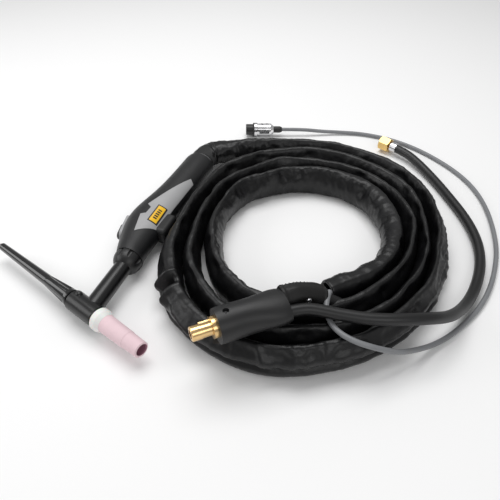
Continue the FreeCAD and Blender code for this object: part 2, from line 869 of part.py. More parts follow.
cuff_blank = loft("cuff_blank", [
    oval("cuff_a", "cuff_start", "grip_across_9", "cuff_half_width", "cuff_half_thick"),
    oval("cuff_b", "cuff_end", "grip_across_9", "cuff_half_width", "cuff_half_thick"),
])
cuff_way = loft("cuff_way", [
    oval("cuff_c", "cuff_start - 5", "grip_across_9", "cuff_half_width - cuff_wall",
         "cuff_half_thick - cuff_wall"),
    oval("cuff_d", "cuff_end + 5", "grip_across_9", "cuff_half_width - cuff_wall",
         "cuff_half_thick - cuff_wall"),
])
finish(cut("grip_cuff", cuff_blank, cuff_way), "grip_cuff", IN_TORCH)

# Trigger: bezel, domed button with a captive flange, lever and snap switch.
finish(cut("trigger_bezel", bezel_blank, button_way), "trigger_bezel",
       ("torch_x + trigger_x", "torch_y + trigger_y", "axis_height"), LEAN)
button_post = slot_block(
    "button_post", "button_x", "button_half_length", "button_half_width", "button_low", "button_high")
doc.recompute()
button_round = doc.addObject("Part::Fillet", "button_round")
button_round.Base = button_post
button_round.Edges = [
    (number, sizes["button_edge"], sizes["button_edge"])
    for number, edge in enumerate(button_post.Shape.Edges, 1)
    if edge.BoundBox.YMin > sizes["button_high"] - 0.01
]
button_flange = slot_block(
    "button_flange", "button_x", "button_half_length + flange_more",
    "button_half_width + flange_more", "flange_low", "button_low")
IN_TRIGGER = ("torch_x + trigger_x", "torch_y + trigger_y", "axis_height")
finish(fuse("trigger_button", [button_round, button_flange]), "trigger_button", IN_TRIGGER, LEAN)
switch_box = block("switch_box", "switch_start", "switch_start + switch_length", "switch_low",
                   "switch_high", "0 - switch_half_width", "switch_half_width")
plunger = rod("plunger", "plunger_radius", "lever_low - switch_high + 1", x="button_x",
              y="switch_high - 1", turn=FreeCAD.Rotation(FreeCAD.Vector(1, 0, 0), -90))
finish(fuse("snap_switch", [switch_box, plunger]), "snap_switch", IN_TRIGGER, LEAN)
finish(padded("switch_lever", "XY_Plane", [
    ("switch_start", "lever_low"),
    ("switch_start + switch_length", "lever_low"),
    ("switch_start + switch_length", "lever_high"),
    ("switch_start", "lever_high"),
], "lever_width"), "switch_lever", IN_TRIGGER, LEAN)

# Power and gas line inside the grip, and the trigger's leads beside it.
finish(turned("power_fitting", [
    ("pipe_radius", "fitting_start"),
    ("fitting_radius", "fitting_start"),
    ("fitting_radius", "fitting_waist"),
    ("fitting_barb_radius", "fitting_waist"),
    ("fitting_barb_radius", "fitting_end"),
    ("fitting_bore", "fitting_end"),
    ("fitting_bore", "pipe_end"),
    ("pipe_radius", "pipe_end"),
]), "power_fitting", IN_TORCH, ALONG_X)
finish(turned("power_hose", [
    ("fitting_barb_radius", "power_start"),
    ("power_radius", "power_start"),
    ("power_radius", "ring_end"),
    ("fitting_barb_radius", "ring_end"),
]), "power_hose", IN_TORCH, ALONG_X)
cord("trigger_leads", [(54, 16.5, 0), (82, 13, 0), (120, 10.5, 0), (156, 9.3, 0), (190, 9.2, 0)],
     "lead_radius", IN_TORCH)

# Dinse plug: a brass pin with a bayonet key, in a rubber boot that also lets the gas hose out.
pin_turning = turned("pin_turning", [
    ("pin_hollow", "pin_front"),
    ("pin_radius - pin_chamfer", "pin_front"),
    ("pin_radius", "pin_front + pin_chamfer"),
    ("pin_radius", "pin_land_end"),
    ("pin_back_radius", "pin_land_end"),
    ("pin_back_radius", "pin_flange_start"),
    ("pin_flange_radius", "pin_flange_start"),
    ("pin_flange_radius", "0"),
    ("pin_shank_radius", "0"),
    ("pin_shank_radius", "pin_shank_end"),
    ("0", "pin_shank_end"),
    ("0", "pin_front + 10"),
    ("pin_hollow", "pin_front + 9"),
])
put(pin_turning, turn=ALONG_X)
pin_key = block("pin_key", "key_start", "pin_flange_start", "4", "key_out",
                "0 - key_half_width", "key_half_width")
finish(fuse("dinse_pin", [pin_turning, pin_key]), "dinse_pin", IN_DINSE, DINSE)

boot_stations = [(0, 15.4, 15.2), (3, 15.8, 15.4), (24, 15.6, 15.0), (42, 17.4, 13.6), (62, 17.2, 11.2)]
boot_sections = []
for i, (along, half_width, half_thick) in enumerate(boot_stations):
    cells("boot station", {
        "boot_along_%d" % i: along,
        "boot_width_%d" % i: half_width,
        "boot_thick_%d" % i: half_thick,
    })
doc.recompute()
for i in range(len(boot_stations)):
    boot_sections.append(oval(
        "boot_%d" % i, "boot_along_%d" % i, "0", "boot_width_%d" % i, "boot_thick_%d" % i))
boot_solid = loft("boot_solid", boot_sections)
boot_tools = fuse("boot_tools", [
    rod("boot_shank", "pin_shank_radius", "pin_shank_end + 10", x="-10", turn=ALONG_X),
    rod("boot_power", "power_radius", "60", x="pin_shank_end - 2", y="power_side", turn=ALONG_X),
    rod("boot_gas", "gas_tail_radius", "60", x="pin_shank_end - 2", y="gas_side", turn=ALONG_X),
    rod("boot_hole", "screw_hole_radius", "30", x="screw_hole_x"),
])
finish(cut("dinse_boot", boot_solid, boot_tools), "dinse_boot", IN_DINSE, DINSE)

screw_blank = rod("screw_blank", "set_screw_radius", "set_screw_high - set_screw_low",
                  x="screw_hole_x", z="set_screw_low")
screw_socket = rod("screw_socket", "socket_radius", "socket_depth + 1",
                   x="screw_hole_x", z="set_screw_high - socket_depth")
finish(cut("set_screw", screw_blank, screw_socket), "set_screw", IN_DINSE, DINSE)

power_sheath = rod("power_sheath", "power_radius", "boot_along_4 - pin_shank_end",
                   x="pin_shank_end", y="power_side", turn=ALONG_X)
power_recess = rod("power_recess", "wire_radius", "2", x="pin_shank_end - 1", y="power_side",
                   turn=ALONG_X)
finish(cut("power_end", power_sheath, power_recess), "power_end", IN_DINSE, DINSE)
tail_blank = rod("tail_blank", "gas_tail_radius", "boot_along_4 - pin_shank_end",
                 x="pin_shank_end", y="gas_side", turn=ALONG_X)
tail_bore = rod("tail_bore", "gas_tail_bore", "boot_along_4", x="pin_shank_end - 1",
                y="gas_side", turn=ALONG_X)
finish(cut("gas_tail", tail_blank, tail_bore), "gas_tail", IN_DINSE, DINSE)

# Gas fitting at the free end of the gas hose: a hexagon nut turning on its tail, and a ferrule.
nut_hex = doc.addObject("Part::Prism", "nut_hex")
nut_hex.Polygon = 6
bind(nut_hex, Height="nut_length")
nut_hex.Circumradius = sizes["nut_flats"] / math.sqrt(3)
nut_hex.setExpression("Circumradius", "Sheet.nut_flats / sqrt(3)")
nut_round = turned("nut_round", [
    ("0", "0"),
    ("nut_face_radius", "0"),
    ("nut_corner_radius", "nut_chamfer"),
    ("nut_corner_radius", "nut_length - nut_chamfer"),
    ("nut_face_radius", "nut_length"),
    ("0", "nut_length"),
])
nut_solid = common("nut_solid", nut_hex, nut_round)
nut_way = turned("nut_way", [
    ("0", "-1"),
    ("nut_bore", "-1"),
    ("nut_bore", "nut_relief_start"),
    ("nut_relief", "nut_relief_start"),
    ("nut_relief", "nut_floor"),
    ("nut_way", "nut_floor"),
    ("nut_way", "nut_length + 1"),
    ("0", "nut_length + 1"),
])
finish(cut("gas_nut", nut_solid, nut_way), "gas_nut", IN_GAS, GAS.multiply(ALONG_X))
finish(turned("gas_nipple", [
    ("tail_way", "tail_head_start"),
    ("tail_head_radius - 2", "tail_head_start"),
    ("tail_head_radius", "tail_head_start + 2"),
    ("tail_head_radius", "tail_head_end"),
    ("tail_radius", "tail_head_end"),
    ("tail_radius", "tail_end"),
    ("tail_way", "tail_end"),
]), "gas_nipple", IN_GAS, GAS.multiply(ALONG_X))
finish(turned("hose_ferrule", [
    ("tail_radius", "ferrule_start"),
    ("ferrule_radius", "ferrule_start"),
    ("ferrule_radius", "ferrule_end"),
    ("hose_radius", "ferrule_end"),
    ("hose_radius", "tail_end"),
    ("tail_radius", "tail_end"),
]), "hose_ferrule", IN_GAS, GAS.multiply(ALONG_X))

# Control plug: an insert with five contacts, coupling ring, shell, clamp screws and strain relief.
insert_solid = turned("insert_solid", [
    ("0", "0"),
    ("insert_radius - 0.5", "0"),
    ("insert_radius", "0.5"),
    ("insert_radius", "insert_land_end"),
    ("insert_back_radius", "insert_land_end"),
    ("insert_back_radius", "shell_start"),
    ("shell_bore", "shell_start"),
    ("shell_bore", "insert_end"),
    ("0", "insert_end"),
])
contact_ways = []
contact_rods = []
for i in range(5):
    angle = math.radians(300.0 / 5 * i + 30)
    across = {"x": math.cos(angle), "y": math.sin(angle)}
    for group, low, tag in ((contact_ways, "-1", "way"), (contact_rods, "2", "rod")):
        length = "contact_depth + 1" if tag == "way" else "contact_depth - 2"
        piece = rod("contact_%s_%d" % (tag, i), "contact_radius", length, z=low)
        for axis, share in across.items():
            text = "%.9f * Sheet.contact_circle" % share
            piece.setExpression("Placement.Base." + axis, text)
        group.append(piece)
insert_cut = cut("plug_insert", insert_solid, fuse("contact_way_set", contact_ways))
finish(insert_cut, "plug_insert", IN_CONTROL, CONTROL.multiply(ALONG_X))
finish(fuse("plug_contacts", contact_rods), "plug_contacts", IN_CONTROL, CONTROL.multiply(ALONG_X))
finish(turned("plug_seal", [
    ("insert_back_radius", "seal_start"),
    ("seal_radius", "seal_start"),
    ("seal_radius", "seal_end"),
    ("insert_back_radius", "seal_end"),
]), "plug_seal", IN_CONTROL, CONTROL.multiply(ALONG_X))
coupling_blank = turned("coupling_blank", [
    ("coupling_bore", "coupling_start"),
    ("coupling_radius", "coupling_start"),
    ("coupling_radius", "coupling_end"),
    ("coupling_bore", "coupling_end"),
])
finish(coupling_blank, "coupling_ring", IN_CONTROL, CONTROL.multiply(ALONG_X))
shell_turning = turned("shell_turning", [
    ("shell_bore", "shell_start"),
    ("shell_radius", "shell_start"),
    ("shell_radius", "shell_neck"),
    ("shell_end_radius", "shell_end"),
    ("relief_radius", "shell_end"),
    ("relief_radius", "relief_start"),
    ("shell_bore", "relief_start"),
])
window = block("window", "0 - window_half", "window_half", "0 - shell_radius - 1", "-2",
               "window_start", "window_end")
UPWARD = FreeCAD.Rotation(FreeCAD.Vector(0, 1, 0), -90)
shell_tools = fuse("plug_shell_tools", [
    rod("clamp_way_1", "clamp_screw_radius", "20", x="-4", z="clamp_screw_one", turn=UPWARD),
    rod("clamp_way_2", "clamp_screw_radius", "20", x="-4", z="clamp_screw_two", turn=UPWARD),
    window,
])
finish(cut("plug_shell", shell_turning, shell_tools), "plug_shell", IN_CONTROL,
       CONTROL.multiply(ALONG_X))
clamp_rods = []
for name, place in (("clamp_one", "clamp_screw_one"), ("clamp_two", "clamp_screw_two")):
    clamp_rods.append(rod(name, "clamp_screw_radius", "clamp_screw_high - clamp_screw_low",
                          x="0 - clamp_screw_low", z=place, turn=UPWARD))
finish(fuse("clamp_screws", clamp_rods), "clamp_screws", IN_CONTROL, CONTROL.multiply(ALONG_X))
finish(turned("strain_relief", [
    ("0", "relief_start"),
    ("relief_radius", "relief_start"),
    ("relief_radius", "relief_end - 3"),
    ("relief_radius - 1.2", "relief_end"),
    ("0", "relief_end"),
]), "strain_relief", IN_CONTROL, CONTROL.multiply(ALONG_X))

# Cords. Each route is a list of points in the part's own frame.
cord("cover_lead", [
    (152.65, -34.5, 17.4),
    (166.7, -34.5, 17.4),
    (180.5, -40.4, 18),
    (191.6, -51.9, 18.5),
    (198, -68.7, 19),
    (202, -86, 19),
], "cover_radius")

cord("leather_cuff", [
    (-77.03, -207.17, 53.8),
    (-68.5, -216.81, 53.8),
    (-58, -229, 47),
    (-50, -240, 38),
    (-44, -252, 29),
], "leather_radius")

cord("gas_hose", [
    (-88.86, -217.64, 53.8),
    (-79.58, -228.13, 53.8),
    (-75, -243, 51.5),
    (-72.5, -262, 49),
    (-68.5, -284, 47.5),
    (-60.5, -307, 46.3),
    (-46, -331, 41),
    (-25, -350, 27),
    (2, -363, 14),
    (28, -372, 7),
    (56, -378, 5.8),
    (85, -380, 5.7),
    (113, -377, 5.7),
    (140, -369, 5.7),
    (166, -357, 5.7),
    (190, -343, 5.7),
    (213, -329, 5.8),
    (235, -313.5, 6.6),
    (255.5, -295.5, 9),
    (271.48, -277.59, 10.8),
    (279.45, -260.34, 10.8),
], "hose_radius")

cord("control_cable", [
    (-47, -243.5, 46),
    (-57.5, -243, 45),
    (-69, -246, 42),
    (-80, -253, 40.9),
    (-88.5, -263.5, 40.8),
    (-92.5, -276, 40.5),
    (-92, -289.5, 37),
    (-86, -302.5, 29.5),
    (-75, -315, 19.5),
    (-59, -328, 10),
    (-43, -342, 4),
    (-25, -356, 2.75),
    (-4, -369, 2.75),
    (20, -381, 2.75),
    (48, -390, 2.75),
    (80, -395, 2.75),
    (115, -397, 2.75),
    (152, -393, 2.75),
    (190, -385, 2.75),
    (225, -371, 2.75),
    (253, -351, 2.75),
    (276, -326, 2.75),
    (296, -297, 2.75),
    (309, -268, 2.75),
    (315, -238, 2.75),
    (315, -209, 2.75),
    (308, -182, 3.4),
    (298, -157, 5.5),
    (287.58, -132.99, 9.7),
    (277.81, -104.62, 9.7),
], "cable_radius")

# The covered cable is stacked on edge in a loose spiral; its coil is one ring of that shape.
coil_outside = [
    (125, -63), (152, -72), (178, -78), (202, -90), (216, -122), (224, -156), (222, -192), (212, -236),
    (194, -278), (160, -316), (110, -340), (50, -353), (-5, -344), (-56, -316), (-99, -266),
    (-121, -212), (-122, -172), (-106, -128), (-78, -88), (-30, -72), (20, -63), (75, -60),
]
coil_inside = [
    (0, -121), (45, -108), (85, -98), (115, -101), (138, -124), (150, -164), (152, -206), (136, -246),
    (95, -274), (45, -284), (0, -276), (-28, -254), (-43, -212), (-49, -166), (-35, -137),
]


def closed_curve(points):
    curve = Part.BSplineCurve()
    curve.interpolate([FreeCAD.Vector(x, y, 0) for x, y in points], PeriodicFlag=True)
    return Part.Wire([curve.toShape()])


coil_face = Part.Face(closed_curve(coil_outside)).cut(Part.Face(closed_curve(coil_inside))).Faces[0]
coil_solid = coil_face.extrude(FreeCAD.Vector(0, 0, sizes["coil_height"]))
rims = [e for e in coil_solid.Edges if e.BoundBox.ZLength < 0.01]
coil_rounded = coil_solid.makeFillet(sizes["coil_edge"], rims)
cover_coil = doc.addObject("Part::Feature", "cover_coil")
cover_coil.Shape = coil_rounded
finish(cover_coil, "cover_coil", ("0", "0", "0"))

snap = turned("cuff_snap", [
    ("0", "-2"),
    ("snap_radius - 1", "-2"),
    ("snap_radius", "-1.4"),
    ("snap_radius", "0"),
    ("snap_radius - 1.6", "1"),
    ("0", "1.2"),
])
snap_way = FreeCAD.Rotation(FreeCAD.Vector(0, 0, 1), FreeCAD.Vector(-0.705, -0.692, 0.16))
finish(snap, "cuff_snap", ("-69.5", "-230", "51.8"), snap_way)

doc.recompute()
for thing in doc.Objects:
    if "Invalid" in thing.State or "Error" in thing.State:
        raise RuntimeError("%s failed: %s" % (thing.Label, thing.State))
for piece in finished:
    shape = piece.Shape
    if shape.isNull() or not shape.isValid() or not shape.Solids:
        raise RuntimeError("%s has no valid solid" % piece.Label)
for piece in finished:
    piece.Shape.exportStep("parts/%s.step" % piece.Label)
print("%d sub-parts" % len(finished))
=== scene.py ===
# %% [markdown]
# # A TIG torch with its covered cable
# The torch lies on a bench beside its own coiled cable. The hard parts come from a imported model,
# which is the fixed frame. This lesson gives them their finishes and makes the soft parts: a
# flat cover wound into a loose coil, a gas hose, a control cable and a leather cuff.

# %% Load the frame
import bpy
import bmesh
import json
import math
import random
import numpy as np
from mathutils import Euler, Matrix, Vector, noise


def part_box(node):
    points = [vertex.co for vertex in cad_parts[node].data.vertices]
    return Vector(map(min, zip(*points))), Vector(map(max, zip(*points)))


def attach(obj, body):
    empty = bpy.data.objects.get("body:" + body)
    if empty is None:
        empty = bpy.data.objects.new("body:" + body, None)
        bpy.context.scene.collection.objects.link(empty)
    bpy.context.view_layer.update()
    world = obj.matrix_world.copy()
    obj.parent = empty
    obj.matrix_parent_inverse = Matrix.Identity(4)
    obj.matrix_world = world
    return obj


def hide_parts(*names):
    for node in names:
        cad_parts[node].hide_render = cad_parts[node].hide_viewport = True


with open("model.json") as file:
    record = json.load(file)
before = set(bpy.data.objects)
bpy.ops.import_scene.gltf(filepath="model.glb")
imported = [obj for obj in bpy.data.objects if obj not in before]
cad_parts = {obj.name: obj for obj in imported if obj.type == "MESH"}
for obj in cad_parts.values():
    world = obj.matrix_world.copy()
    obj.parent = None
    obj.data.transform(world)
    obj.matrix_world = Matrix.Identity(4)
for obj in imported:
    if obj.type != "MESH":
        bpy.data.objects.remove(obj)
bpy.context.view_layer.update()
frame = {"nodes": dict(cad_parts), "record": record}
MM = 0.001
rng = random.Random(17)

# %% [markdown]
# ## Room and camera
# A pale bench top and three soft boxes are enough for black, satin things: what the eye reads
# on them is the shape of each highlight, so the lights are large and come from above.

# %% Floor
bpy.ops.mesh.primitive_plane_add(size=8, location=(0.05, -0.15, -0.0004))
floor = bpy.context.object
floor.name = "bench_top"
floor_mat = bpy.data.materials.new("bench_paint")
floor_mat.use_nodes = True
floor_shader = floor_mat.node_tree.nodes["Principled BSDF"]
floor_shader.inputs["Base Color"].default_value = (0.93, 0.93, 0.93, 1)
floor_shader.inputs["Roughness"].default_value = 0.75
floor.data.materials.append(floor_mat)

world = bpy.data.worlds.new("studio_air")
bpy.context.scene.world = world
world.use_nodes = True
world.node_tree.nodes["Background"].inputs["Color"].default_value = (1, 1, 1, 1)
world.node_tree.nodes["Background"].inputs["Strength"].default_value = 0.38
bpy.context.scene.view_settings.view_transform = "Standard"

# %% Soft boxes
def soft_box(name, place, look_at, width, height, power):
    """A large rectangular light that faces one point."""
    lamp = bpy.data.lights.new(name, "AREA")
    lamp.shape = "RECTANGLE"
    lamp.size, lamp.size_y = width, height
    lamp.energy = power
    holder = bpy.data.objects.new(name, lamp)
    holder.location = place
    aim = Vector(look_at) - Vector(place)
    holder.rotation_euler = aim.to_track_quat("-Z", "Y").to_euler()
    bpy.context.collection.objects.link(holder)
    return holder


MIDDLE = (0.05, -0.15, 0.0)
soft_box("overhead_box", (0.35, 0.1, 1.25), MIDDLE, 1.1, 0.8, 11.5)
soft_box("left_box", (-0.35, 0.95, 0.6), MIDDLE, 0.7, 0.6, 3.5)
soft_box("front_box", (-0.75, -0.85, 0.75), MIDDLE, 0.8, 0.5, 2.5)

# %% Camera
camera = bpy.data.cameras.new("bench_camera")
camera.sensor_width = 36
camera.lens = 38.38
camera_holder = bpy.data.objects.new("bench_camera", camera)
camera_holder.location = (-0.3805, -0.2833, 0.391)
camera_holder.rotation_euler = Euler((math.radians(48), 0, math.radians(-71)))
bpy.context.collection.objects.link(camera_holder)
bpy.context.scene.camera = camera_holder

# %% [markdown]
# ## Finishes
# Each finish is a small node tree. One helper lays down what they all share: a colour that
# drifts a little, a roughness that drifts with it, and a fine surface grain as bump. The
# special ones add what makes their real surface itself, such as turning rings or pores.

# %% The shared start of a finish
def finish(name, colour, roughness, drift=0.15, grain=900.0, depth=0.00003, **shader_values):
    """A material whose colour and gloss drift over the surface, with a fine grain."""
    mat = bpy.data.materials.new(name)
    mat.use_nodes = True
    tree = mat.node_tree
    shader = tree.nodes["Principled BSDF"]
    for key, value in shader_values.items():
        shader.inputs[key.replace("_", " ")].default_value = value
    where = tree.nodes.new("ShaderNodeTexCoord")
    cloud = tree.nodes.new("ShaderNodeTexNoise")
    cloud.inputs["Scale"].default_value = 45
    cloud.inputs["Detail"].default_value = 5
    tree.links.new(where.outputs["Object"], cloud.inputs["Vector"])
    ramp = tree.nodes.new("ShaderNodeValToRGB")
    ramp.color_ramp.elements[0].position = 0.3
    ramp.color_ramp.elements[1].position = 0.72
    low = [max(0.0, c * (1 - drift)) for c in colour]
    high = [min(1.0, c * (1 + drift)) for c in colour]
    ramp.color_ramp.elements[0].color = (*low, 1)
    ramp.color_ramp.elements[1].color = (*high, 1)
    tree.links.new(cloud.outputs["Fac"], ramp.inputs["Fac"])
    tree.links.new(ramp.outputs["Color"], shader.inputs["Base Color"])
    gloss = tree.nodes.new("ShaderNodeMapRange")
    gloss.inputs["To Min"].default_value = max(0.02, roughness - 0.07)
    gloss.inputs["To Max"].default_value = min(1.0, roughness + 0.09)
    tree.links.new(cloud.outputs["Fac"], gloss.inputs["Value"])
    tree.links.new(gloss.outputs["Result"], shader.inputs["Roughness"])
    fine = tree.nodes.new("ShaderNodeTexNoise")
    fine.inputs["Scale"].default_value = grain
    fine.inputs["Detail"].default_value = 4
    tree.links.new(where.outputs["Object"], fine.inputs["Vector"])
    bump = tree.nodes.new("ShaderNodeBump")
    bump.inputs["Strength"].default_value = 1.0
    bump.inputs["Distance"].default_value = depth
    tree.links.new(fine.outputs["Fac"], bump.inputs["Height"])
    tree.links.new(bump.outputs["Normal"], shader.inputs["Normal"])
    return mat


def part_of(mat, kind):
    """The first node of a kind in a finish."""
    return next(n for n in mat.node_tree.nodes if n.bl_idname == kind)


# %% Further layers for a finish
def join(mat, source, target):
    """Links two sockets of a finish."""
    mat.node_tree.links.new(source, target)


def pebbles(mat, scale, depth):
    """Adds a leather-like pebble grain under the fine one."""
    tree = mat.node_tree
    cells = tree.nodes.new("ShaderNodeTexVoronoi")
    cells.inputs["Scale"].default_value = scale
    join(mat, part_of(mat, "ShaderNodeTexCoord").outputs["Object"], cells.inputs["Vector"])
    second = tree.nodes.new("ShaderNodeBump")
    second.inputs["Distance"].default_value = depth
    join(mat, cells.outputs["Distance"], second.inputs["Height"])
    join(mat, second.outputs["Normal"], part_of(mat, "ShaderNodeBump").inputs["Normal"])
    return mat


def turned_rings(mat, along, pitch, depth):
    """Adds the fine rings that a lathe leaves, across one direction."""
    tree = mat.node_tree
    dot = tree.nodes.new("ShaderNodeVectorMath")
    dot.operation = "DOT_PRODUCT"
    dot.inputs[1].default_value = Vector(along).normalized() / (pitch * MM)
    join(mat, part_of(mat, "ShaderNodeTexCoord").outputs["Object"], dot.inputs[0])
    rings = tree.nodes.new("ShaderNodeTexNoise")
    rings.noise_dimensions = "1D"
    rings.inputs["Scale"].default_value = 1
    rings.inputs["Detail"].default_value = 2
    join(mat, dot.outputs["Value"], rings.inputs["W"])
    second = tree.nodes.new("ShaderNodeBump")
    second.inputs["Distance"].default_value = depth
    join(mat, rings.outputs["Fac"], second.inputs["Height"])
    join(mat, second.outputs["Normal"], part_of(mat, "ShaderNodeBump").inputs["Normal"])
    return mat


def creases(mat, scale, depth):
    """Adds soft, stretched wrinkles at a larger scale than the grain."""
    tree = mat.node_tree
    waves = tree.nodes.new("ShaderNodeTexNoise")
    waves.inputs["Scale"].default_value = scale
    waves.inputs["Detail"].default_value = 3
    waves.inputs["Distortion"].default_value = 0.6
    join(mat, part_of(mat, "ShaderNodeTexCoord").outputs["Object"], waves.inputs["Vector"])
    second = tree.nodes.new("ShaderNodeBump")
    second.inputs["Distance"].default_value = depth
    join(mat, waves.outputs["Fac"], second.inputs["Height"])
    last = part_of(mat, "ShaderNodeBump")
    while last.inputs["Normal"].links:
        last = last.inputs["Normal"].links[0].from_node
    join(mat, second.outputs["Normal"], last.inputs["Normal"])
    return mat


# %% The finishes of this torch
def level_axis(degrees):
    """A level direction at an angle from the x axis."""
    return (math.cos(math.radians(degrees)), math.sin(math.radians(degrees)), 0)


HEAD_AXIS = level_axis(70)
PIN_AXIS = level_axis(-48.5)
NUT_AXIS = level_axis(-114.8)
finishes = {
    "head_rubber": finish("head_rubber", (0.003, 0.003, 0.0034), 0.3, grain=1400, depth=0.00002),
    "cap_plastic": finish("cap_plastic", (0.003, 0.003, 0.0035), 0.16, depth=0.000008,
                          Coat_Weight=0.5, Coat_Roughness=0.12),
    "seal_rubber": finish("seal_rubber", (0.02, 0.02, 0.02), 0.6),
    "copper_parts": turned_rings(finish("copper_parts", (0.72, 0.36, 0.2), 0.3, Metallic=1.0),
                                 HEAD_AXIS, 0.3, 0.00003),
    "tungsten": finish("tungsten", (0.5, 0.51, 0.53), 0.35, Metallic=1.0),
    "gasket_plastic": finish("gasket_plastic", (0.83, 0.83, 0.81), 0.42, drift=0.03,
                             depth=0.00001, Subsurface_Weight=0.15, Subsurface_Scale=0.003),
    "cup_ceramic": turned_rings(
        finish("cup_ceramic", (0.80, 0.60, 0.64), 0.62, drift=0.06, grain=2200, depth=0.00005),
        HEAD_AXIS, 0.7, 0.00004),
    "collar_rubber": finish("collar_rubber", (0.006, 0.006, 0.0065), 0.4, depth=0.00003),
    "grip_plastic": pebbles(finish("grip_plastic", (0.005, 0.0052, 0.006), 0.46, grain=2600,
                                   depth=0.00004), 1900, 0.00005),
    "panel_plastic": pebbles(finish("panel_plastic", (0.36, 0.36, 0.365), 0.45, drift=0.04,
                                    grain=2600, depth=0.00003), 1900, 0.00003),
    "label_film": finish("label_film", (0.9, 0.52, 0.012), 0.3, drift=0.04, depth=0.00001),
    "screw_steel": finish("screw_steel", (0.3, 0.3, 0.31), 0.35, Metallic=1.0),
    "rest_rubber": finish("rest_rubber", (0.005, 0.005, 0.0055), 0.5, depth=0.00003),
    "cuff_rubber": finish("cuff_rubber", (0.006, 0.006, 0.0065), 0.42, depth=0.00003),
    "button_plastic": finish("button_plastic", (0.01, 0.01, 0.011), 0.4),
    "switch_plastic": finish("switch_plastic", (0.02, 0.02, 0.02), 0.5),
    "spring_steel": finish("spring_steel", (0.5, 0.5, 0.52), 0.3, Metallic=1.0),
    "hose_inner": finish("hose_inner", (0.03, 0.03, 0.03), 0.5),
    "lead_vinyl": finish("lead_vinyl", (0.3, 0.03, 0.02), 0.4),
    "brass_inner": finish("brass_inner", (0.6, 0.42, 0.18), 0.35, Metallic=1.0),
    "brass_pin": turned_rings(finish("brass_pin", (0.80, 0.55, 0.26), 0.22, Metallic=1.0),
                              PIN_AXIS, 0.35, 0.00003),
    "brass_nut": turned_rings(finish("brass_nut", (0.76, 0.52, 0.2), 0.24, Metallic=1.0),
                              NUT_AXIS, 0.4, 0.00003),
    "ferrule_steel": turned_rings(finish("ferrule_steel", (0.7, 0.7, 0.71), 0.28, Metallic=1.0),
                                  NUT_AXIS, 0.3, 0.00003),
    "boot_rubber": pebbles(finish("boot_rubber", (0.0045, 0.0045, 0.005), 0.44, grain=1600,
                                  depth=0.00003), 1300, 0.00003),
    "power_sheath": finish("power_sheath", (0.02, 0.02, 0.02), 0.5),
    "insert_plastic": finish("insert_plastic", (0.012, 0.012, 0.012), 0.4),
    "contact_metal": finish("contact_metal", (0.8, 0.66, 0.36), 0.25, Metallic=1.0),
    "plug_chrome": finish("plug_chrome", (0.72, 0.72, 0.73), 0.2, depth=0.00001, Metallic=1.0),
    "relief_rubber": finish("relief_rubber", (0.014, 0.014, 0.014), 0.5),
    "cover_leatherette": creases(pebbles(
        finish("cover_leatherette", (0.0028, 0.0028, 0.0033), 0.38, drift=0.3, grain=1500,
               depth=0.00004, Specular_IOR_Level=0.4), 900, 0.00005), 85, 0.0005),
    "cuff_leather": pebbles(finish("cuff_leather", (0.0045, 0.0042, 0.0042), 0.48, drift=0.3,
                                   depth=0.00005, Specular_IOR_Level=0.4), 700, 0.0001),
    "hose_rubber": finish("hose_rubber", (0.0045, 0.0045, 0.005), 0.42, grain=700, depth=0.00004),
    "cable_grey": finish("cable_grey", (0.2, 0.205, 0.215), 0.42, drift=0.06, depth=0.00002),
    "snap_metal": finish("snap_metal", (0.6, 0.6, 0.62), 0.25, Metallic=1.0),
}


def print_label(mat, boxes, ink):
    """Prints dark boxes on a label: each is middle x, middle y, half width, half height in mm,
    and the first one is the field that stays clear inside a dark border."""
    tree = mat.node_tree
    split = tree.nodes.new("ShaderNodeSeparateXYZ")
    join(mat, part_of(mat, "ShaderNodeTexCoord").outputs["Object"], split.inputs["Vector"])

    def inside(box):
        sides = []
        for axis, centre, half in (("X", box[0], box[2]), ("Y", box[1], box[3])):
            near = tree.nodes.new("ShaderNodeMath")
            near.operation = "COMPARE"
            near.inputs[1].default_value = centre * MM
            near.inputs[2].default_value = half * MM
            join(mat, split.outputs[axis], near.inputs[0])
            sides.append(near)
        both = tree.nodes.new("ShaderNodeMath")
        both.operation = "MULTIPLY"
        for k, near in enumerate(sides):
            join(mat, near.outputs[0], both.inputs[k])
        return both

    field = inside(boxes[0])
    dark = tree.nodes.new("ShaderNodeMath")
    dark.operation = "SUBTRACT"
    dark.inputs[0].default_value = 1
    join(mat, field.outputs[0], dark.inputs[1])
    for box in boxes[1:]:
        more = tree.nodes.new("ShaderNodeMath")
        more.operation = "MAXIMUM"
        join(mat, dark.outputs[0], more.inputs[0])
        join(mat, inside(box).outputs[0], more.inputs[1])
        dark = more
    mix = tree.nodes.new("ShaderNodeMix")
    mix.data_type = "RGBA"
    mix.inputs[7].default_value = (*ink, 1)
    join(mat, dark.outputs[0], mix.inputs[0])
    join(mat, part_of(mat, "ShaderNodeValToRGB").outputs["Color"], mix.inputs[6])
    join(mat, mix.outputs[2], part_of(mat, "ShaderNodeBsdfPrincipled").inputs["Base Color"])


